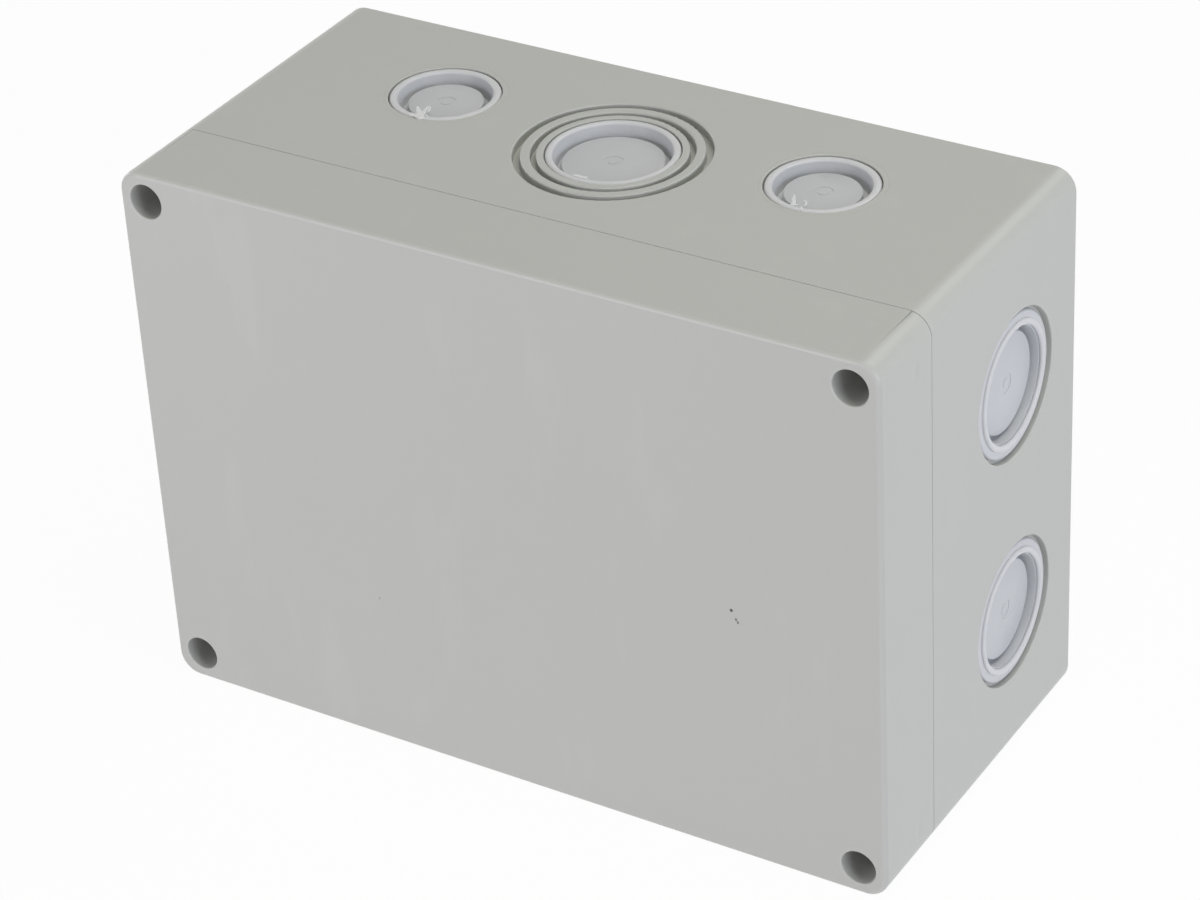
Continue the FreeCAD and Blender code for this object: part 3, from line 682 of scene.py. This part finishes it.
def add_lens(shape, place, outward, along):
    """A lens that bites SINK_DEPTH into a wall, with a soft shoulder."""
    across = outward.cross(along)
    rings = []
    for i in range(1, SINK_RINGS + 1):
        share = i / SINK_RINGS
        depth = SINK_PROUD - SINK_DEPTH * (1 + math.cos(math.pi * share)) / 2
        ring = []
        for k in range(SINK_STEPS):
            angle = 2 * math.pi * k / SINK_STEPS
            spot = along * (SINK_LONG * math.cos(angle)) + across * (SINK_SHORT * math.sin(angle))
            ring.append(shape.verts.new(place + spot * share + outward * depth))
        rings.append(ring)
    bottom = shape.verts.new(place - outward * (SINK_DEPTH - SINK_PROUD))
    top = shape.verts.new(place + outward * SINK_LONG)
    for k in range(SINK_STEPS):
        after = (k + 1) % SINK_STEPS
        shape.faces.new((bottom, rings[0][k], rings[0][after]))
        shape.faces.new((top, rings[-1][after], rings[-1][k]))
        for inner, outer in zip(rings, rings[1:]):
            shape.faces.new((inner[k], outer[k], outer[after], inner[after]))


def add_tray(shape):
    """A tray with steep sides and ends that fade out."""
    front = low.y
    levels = [
        (front + PLATE_DEPTH, 0.0, PLATE_FADE),
        (front, PLATE_SLOPE, 0.0),
        (front - PLATE_PROUD, PLATE_SLOPE, 0.0),
    ]
    rings = []
    for y, side, end in levels:
        half = PLATE_HALF + side
        bottom, top = PLATE_LOW + end, PLATE_HIGH - end
        corners = [(-half, bottom), (half, bottom), (half, top), (-half, top)]
        rings.append([shape.verts.new((x, y, z)) for x, z in corners])
    for inner, outer in zip(rings, rings[1:]):
        for k in range(4):
            shape.faces.new((inner[k], outer[k], outer[(k + 1) % 4], inner[(k + 1) % 4]))
    shape.faces.new(rings[0])
    shape.faces.new(rings[-1])


print("a sink mark is", round(SINK_DEPTH / MM, 2), "mm deep")

# %% Lid marks
def lid_marks():
    """Eight sink marks, two beside each screw, and the tray of the mould's plate."""
    shape = bmesh.new()
    y = low.y + SINK_BEHIND_FRONT
    for i in (-1, 1):
        side = high.x if i > 0 else low.x
        for j in (-1, 1):
            level_z = high.z if j > 0 else low.z
            above = Vector((side - i * SCREW_INSET, y, level_z))
            beside = Vector((side, y, level_z - j * SCREW_INSET))
            add_lens(shape, above, outward=Vector((0, 0, j)), along=Vector((1, 0, 0)))
            add_lens(shape, beside, outward=Vector((i, 0, 0)), along=Vector((0, 0, 1)))
    add_tray(shape)
    bmesh.ops.recalc_face_normals(shape, faces=shape.faces)
    mesh = bpy.data.meshes.new("lid_marks")
    shape.to_mesh(mesh)
    shape.free()
    return mesh


def carved(mesh, cutter_mesh):
    """Take one mesh away from another."""
    helper = link_object("carved_helper", mesh)
    cutter = link_object("cutter_helper", cutter_mesh)
    cut = helper.modifiers.new("cut", "BOOLEAN")
    cut.operation = "DIFFERENCE"
    cut.solver = "EXACT"
    cut.object = cutter
    evaluated = helper.evaluated_get(bpy.context.evaluated_depsgraph_get())
    result = bpy.data.meshes.new_from_object(evaluated)
    bpy.data.objects.remove(helper)
    bpy.data.objects.remove(cutter)
    return result


LID_MARKS = lid_marks()
print("the lid's marks have", len(LID_MARKS.polygons), "faces")

# %% [markdown]
# ## Case and lid
# The two mouldings keep the shape that the CAD model gives them. Their edges get a small bevel, because a knife
# edge never catches light and looks like cut paper. A subdivision surface would round them too, but it would also
# bend the flat walls. A Weighted Normal modifier then keeps the wide faces flat in the light.

# %% Case and lid
MOULD_EDGE = 0.00018


def dress_moulding(node, name, marks=None):
    """A copy of a moulding with its marks cut in and its edges softened."""
    shape = merged_copy(node, flatten=marks is None)
    if marks:
        whole = bpy.data.meshes.new(name + "_whole")
        shape.to_mesh(whole)
        shape.clear()
        shape.from_mesh(carved(whole, marks))
        bmesh.ops.dissolve_limit(shape, angle_limit=FLAT, verts=shape.verts, edges=shape.edges)
    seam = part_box("lid")[1].y
    mesh = to_mesh(shape, name, FINISHES["case_plastic"], fine_level=seam)
    piece = soften(link_object(name, mesh), MOULD_EDGE)
    weighted = piece.modifiers.new("flat_faces", "WEIGHTED_NORMAL")
    weighted.keep_sharp = True
    settle(piece, BODY_OF[node], "case_plastic", node)
    print(name, len(mesh.polygons), "faces before the bevel")


dress_moulding("base_box", "case_moulding")
dress_moulding("lid", "lid_moulding", LID_MARKS)

# %% [markdown]
# ## Cable entries
# Each entry is a soft plug snapped into a stepped hole: a rounded rim, a cup and a thin disc that a cable pierces.
# There are three families, and all plugs of a family come from one mould. So one CAD plug of each family is
# copied, brought to the origin, gets a full round bead at its mouth, and is set at every hole by a recipe, turned
# a little further each time. Ten copies placed by hand would look the same, but a change to one would have to be
# made ten times. Soft mouldings are never true, so the recipe also moves their skin by a few hundredths of a
# millimetre.

# %% Plug recipe
WAVE = 0.00003
WAVE_SIZE = 0.008
TURN = 1.3


def plug_recipe():
    """A plug, its skin moved by a slow wave, at every hole."""
    recipe = Recipe("plug_row")
    holes = recipe.take("Holes", bpy.types.Mesh)
    plug = recipe.node("ObjectInfo", {"Object": recipe.take("Plug", bpy.types.Object)}, output="Geometry")
    noise_size = recipe.take("Wave Size", float)
    where = recipe.node("InputPosition")
    wave = recipe.node("TexNoise", {"Vector": where, "Scale": 1 / noise_size, "Detail": 1.0}, output="Color")
    wave = recipe.node("VectorMath", {0: wave, 1: (0.5, 0.5, 0.5)}, operation="SUBTRACT")
    reach = recipe.take("Wave", float)
    offset = recipe.node("VectorMath", {0: wave, "Scale": reach}, operation="SCALE")
    plug = recipe.node("SetPosition", {"Geometry": plug, "Offset": offset})
    outward = recipe.node("InputNamedAttribute", {"Name": "outward"}, data_type="FLOAT_VECTOR")
    facing = recipe.node("AlignRotationToVector", {"Vector": outward}, axis="Z")
    angle = recipe.node("InputIndex") * recipe.take("Turn", float)
    turn = recipe.node("AxisAngleToRotation", {"Axis": (0, 0, 1), "Angle": angle})
    facing = recipe.node("RotateRotation", {"Rotation": facing, "Rotate By": turn}, rotation_space="LOCAL")
    plugs = recipe.node("InstanceOnPoints", {"Points": holes, "Instance": plug, "Rotation": facing})
    return recipe.serve(plugs)


PLUG_RECIPE = plug_recipe()
print("the plug recipe has", len(PLUG_RECIPE.nodes), "nodes")

# %% Plugs and their beads
BEAD_STEPS = 96
BEAD_SECTION = 14
BEAD_HALF_HEIGHT = 0.0006
BEAD_DROP = 0.00004


def hole_of(node):
    """Middle of an entry on the outer face, and the way it looks."""
    corner_low, corner_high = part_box(node)
    spot = (corner_low + corner_high) / 2
    off_middle = spot - middle
    axis = 0 if "_left_" in node or "_right_" in node else 2
    outward = Vector((0, 0, 0))
    outward[axis] = math.copysign(1.0, off_middle[axis])
    spot[axis] = high[axis] if off_middle[axis] > 0 else low[axis]
    return spot, outward


def add_bead(shape, inside, outside):
    """A round bead, an ellipse swept round the axis, with its top just under the outer face."""
    centre, half_width = (inside + outside) / 2, (outside - inside) / 2
    rings = []
    for i in range(BEAD_STEPS):
        turn = 2 * math.pi * i / BEAD_STEPS
        around = Vector((math.cos(turn), math.sin(turn), 0.0))
        ring = []
        for k in range(BEAD_SECTION):
            angle = 2 * math.pi * k / BEAD_SECTION
            level_z = BEAD_HALF_HEIGHT * (math.sin(angle) - 1) - BEAD_DROP
            spot = around * (centre + half_width * math.cos(angle)) + Vector((0, 0, level_z))
            ring.append(shape.verts.new(spot))
        rings.append(ring)
    for ring, after in zip(rings, rings[1:] + rings[:1]):
        for k in range(BEAD_SECTION):
            over = (k + 1) % BEAD_SECTION
            shape.faces.new((ring[k], after[k], after[over], ring[over]))


def plug_template(family, node, inside, outside):
    """A CAD plug and its bead, brought to the origin so that it looks up."""
    spot, outward = hole_of(node)
    shape = merged_copy(node)
    turn = outward.to_track_quat("Z", "Y").to_matrix().to_4x4()
    bmesh.ops.transform(shape, matrix=turn.inverted() @ Matrix.Translation(-spot), verts=shape.verts)
    add_bead(shape, inside, outside)
    name = family + "_template"
    return link_object(name, to_mesh(shape, name, grommet_finish))


def plug_row(family, nodes, inside, outside):
    """All plugs of one family as one piece."""
    plug = plug_template(family, nodes[0], inside, outside)
    holes = bpy.data.meshes.new(family + "_holes")
    places = [hole_of(node) for node in nodes]
    holes.from_pydata([place for place, _ in places], [], [])
    ways = holes.attributes.new("outward", "FLOAT_VECTOR", "POINT")
    ways.data.foreach_set("vector", [value for _, way in places for value in way])
    values = {"Plug": plug, "Wave": WAVE, "Wave Size": WAVE_SIZE, "Turn": TURN, "Finish": grommet_finish}
    mesh = run_recipe(PLUG_RECIPE, family, holes, **values)
    bpy.data.objects.remove(plug)
    settle(link_object(family, mesh), "case", "grommet_soft_plastic", *nodes)
    print(family, len(mesh.polygons), "faces")


# %% Plugs of the three families
# family: (walls, places in a wall, inner and outer radius of the bead)
FAMILIES = {
    "plugs_small": (("top", "bottom"), ("left", "right"), 0.0101, 0.01185),
    "plugs_centre": (("top", "bottom"), ("centre",), 0.0124, 0.01395),
    "plugs_side": (("right", "left"), ("upper", "lower"), 0.0125, 0.01395),
}

for family, (walls, places, inside, outside) in FAMILIES.items():
    nodes = ["grommet_%s_%s" % (wall, place) for wall in walls for place in places]
    plug_row(family, nodes, inside, outside)

# %% [markdown]
# ## Torn skin on the plugs
# Plastic squeezes a little way into the joint of a mould and leaves a film thinner than paper. On three of the
# plugs it has torn and curls over the rim as white wisps. A wisp is a short path with a width at every point. The
# recipe rounds the path, sweeps a flat section along it and closes its ends, so each wisp is a real, thin solid.

# %% Wisp recipe
WISP_FLATNESS = 0.22
WISP_GROWTH = 2.3
WISP_DROP = 0.00001
WISP_SIDES = 6


def wisp_recipe():
    """A flat closed section swept along each path, as wide as the path says."""
    recipe = Recipe("wisps")
    path = recipe.node("MeshToCurve", {"Mesh": recipe.take("Paths", bpy.types.Mesh)})
    path = recipe.node("CurveSplineType", {"Curve": path}, spline_type="CATMULL_ROM")
    half_width = recipe.node("InputNamedAttribute", {"Name": "half_width"}, data_type="FLOAT")
    path = recipe.node("ResampleCurve", {"Curve": path}, mode="EVALUATED")
    path = recipe.node("SetCurveNormal", {"Curve": path}, mode="Z_UP")
    section = recipe.node("CurvePrimitiveCircle", {"Resolution": WISP_SIDES, "Radius": 1.0})
    section = recipe.node("Transform", {"Geometry": section, "Scale": (1.0, WISP_FLATNESS, 1.0)})
    swept = {"Curve": path, "Profile Curve": section, "Scale": half_width, "Fill Caps": True}
    return recipe.serve(recipe.node("CurveToMesh", swept))


WISP_RECIPE = wisp_recipe()
print("the wisp recipe has", len(WISP_RECIPE.nodes), "nodes")

# %% Wisps
# each path: (x, y, half width) of its points, in millimetres
WISPS = [
    [(-46.7, 4.7, 0.10), (-46.4, 4.1, 0.22), (-46.0, 3.5, 0.20)],
    [(-43.4, 3.1, 0.32), (-44.7, 4.9, 0.42), (-46.2, 6.5, 0.24), (-47.2, 7.7, 0.10)],
    [(-43.5, 3.3, 0.26), (-44.6, 6.0, 0.24), (-45.0, 7.8, 0.14), (-44.9, 8.5, 0.16), (-44.1, 7.3, 0.14),
     (-43.8, 6.1, 0.05)],
    [(-46.8, 4.2, 0.16), (-45.3, 4.1, 0.34), (-43.6, 3.7, 0.30)],
    [(-43.5, 5.2, 0.16), (-42.4, 4.7, 0.10)],
    [(-2.0, -3.7, 0.12), (-1.4, -3.5, 0.16), (-0.2, -3.6, 0.20), (0.6, -3.6, 0.16), (1.8, -4.2, 0.06)],
    [(0.2, -3.9, 0.10), (0.7, -3.2, 0.12), (1.1, -2.9, 0.05)],
    [(43.7, 4.6, 0.22), (43.3, 6.1, 0.20), (42.0, 8.6, 0.04)],
    [(43.4, 5.8, 0.14), (42.9, 7.0, 0.09), (42.7, 7.9, 0.04)],
    [(43.3, 6.0, 0.12), (42.2, 7.3, 0.04)],
    [(43.5, 4.8, 0.14), (44.6, 5.3, 0.10)],
    [(46.1, 5.3, 0.08), (46.0, 6.2, 0.12), (45.4, 7.2, 0.10), (44.8, 7.2, 0.04)],
    [(45.7, 4.7, 0.14), (46.4, 3.5, 0.06)],
]


def add_wisps():
    """Every wisp lies over a rim, just under the outer face."""
    mesh = bpy.data.meshes.new("wisp_paths")
    spots, links, widths = [], [], []
    for path in WISPS:
        for step, (x, y, half_width) in enumerate(path):
            if step:
                links.append((len(spots) - 1, len(spots)))
            half_width *= WISP_GROWTH * MM
            spots.append((x * MM, y * MM, high.z - WISP_DROP - half_width * WISP_FLATNESS))
            widths.append(half_width)
    mesh.from_pydata(spots, links, [])
    attribute = mesh.attributes.new("half_width", "FLOAT", "POINT")
    attribute.data.foreach_set("value", widths)
    result = run_recipe(WISP_RECIPE, "torn_skin", mesh, Finish=flash_finish)
    for face in result.polygons:
        face.use_smooth = True
    settle(link_object("torn_skin", result), "case", "grommet_soft_plastic")
    print("wisps reach z =", round(max(vertex.co.z for vertex in result.vertices), 6), "of", round(high.z, 6))


add_wisps()

# %% [markdown]
# ## Threads
# The CAD screws have plain shanks as thick as their threads. A copy of each has its shank pulled in to the root of
# the thread, and a recipe winds a ridge round it: a spiral with a four-cornered section whose inner half stays
# inside the metal. The ridge fades in and out, as a rolled thread does.

# %% Thread recipe
THREAD_STEPS = 20
THREAD_FADE = 0.06


def thread_recipe():
    """A screw with a ridge wound round its shank."""
    recipe = Recipe("thread")
    screw = recipe.take("Screw", bpy.types.Mesh)
    radius = recipe.take("Radius", float)
    turns = {"Resolution": THREAD_STEPS, "Rotations": recipe.take("Turns", float)}
    size = {"Start Radius": radius, "End Radius": radius, "Height": recipe.take("Length", float)}
    spiral = recipe.node("CurveSpiral", {**turns, **size})
    along = recipe.node("SplineParameter", output="Factor")
    nearest_end = along.math("MINIMUM", along, 1 - along)
    fade = (nearest_end / THREAD_FADE).math("MINIMUM", nearest_end / THREAD_FADE, 1.0)
    spiral = recipe.node("SetCurveNormal", {"Curve": spiral}, mode="Z_UP")
    section = recipe.node("CurvePrimitiveCircle", {"Resolution": 4, "Radius": 1.0})
    height, foot = recipe.take("Height", float), recipe.take("Foot", float)
    shape = recipe.node("CombineXYZ", {"X": height, "Y": foot, "Z": 1.0})
    section = recipe.node("Transform", {"Geometry": section, "Scale": shape})
    swept = {"Curve": spiral, "Profile Curve": section, "Scale": fade, "Fill Caps": True}
    ridge = recipe.node("CurveToMesh", swept)
    placed = {"Rotation": (-math.pi / 2, 0.0, 0.0), "Translation": recipe.take("Start", Vector)}
    ridge = recipe.node("Transform", {"Geometry": ridge, **placed})
    both = recipe.node("JoinGeometry", {"Geometry": ridge})
    recipe.tree.links.new(screw.socket, both.socket.node.inputs["Geometry"])
    return recipe.serve(both)


THREAD_RECIPE = thread_recipe()
print("the thread recipe has", len(THREAD_RECIPE.nodes), "nodes")

# %% Threaded screws
# kind of screw: outer radius, root radius, pitch, from head to thread, from thread to tip, in millimetres
THREADS = {
    "clamp_screw": (1.5, 1.22, 0.5, 2.5, 0.5),
    "lid_screw": (2.0, 1.55, 1.2, 5.5, 1.6),
}
THREAD_FOOT = 0.36
SHANK_MATCH = 0.02 * MM
UNDER_HEAD = 1.5 * MM


def threaded(node, outer, root, pitch, from_seat, to_tip):
    """A copy of a screw with a thread. The shank runs along +Y from the widest part of the head."""
    corner_low, corner_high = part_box(node)
    axis = (corner_low + corner_high) / 2
    shape = merged_copy(node)
    for vertex in shape.verts:
        off_axis = Vector((vertex.co.x - axis.x, 0.0, vertex.co.z - axis.z))
        if abs(off_axis.length - outer) < SHANK_MATCH and vertex.co.y > corner_low.y + UNDER_HEAD:
            vertex.co += off_axis.normalized() * (root - outer)
    base = to_mesh(shape, node + "_shank", zinc_finish)
    start = Vector((axis.x, corner_low.y + from_seat, axis.z))
    length = corner_high.y - to_tip - start.y
    size = {"Radius": root, "Turns": length / pitch, "Length": length, "Height": outer - root}
    mesh = run_recipe(THREAD_RECIPE, node + "_threaded", base, Foot=THREAD_FOOT * pitch, Start=start,
                      Finish=zinc_finish, **size)
    settle(link_object(node + "_threaded", mesh), BODY_OF[node], "screw_steel", node)
    return len(mesh.polygons)


for kind, sizes in THREADS.items():
    screws = [node for node in frame["nodes"] if node.startswith(kind)]
    faces = [threaded(node, *(value * MM for value in sizes)) for node in screws]
    print(len(screws), kind, "copies with", max(faces), "faces or fewer")

# %% [markdown]
# ## The rest of the CAD nodes
# Every other node keeps its mesh and gets its finish through its material slot. The nodes that a dressed piece
# stands for get theirs too, so that nothing in the file is left without a finish.

# %% Finishes for the CAD nodes
SLOT_OF = {part["node"]: part["material_slot"] for part in frame["record"]["subparts"]}
for node, item in frame["nodes"].items():
    item.material_slots[0].material = FINISHES[SLOT_OF[node]]
print(len(frame["nodes"]), "nodes have a finish")

# %% [markdown]
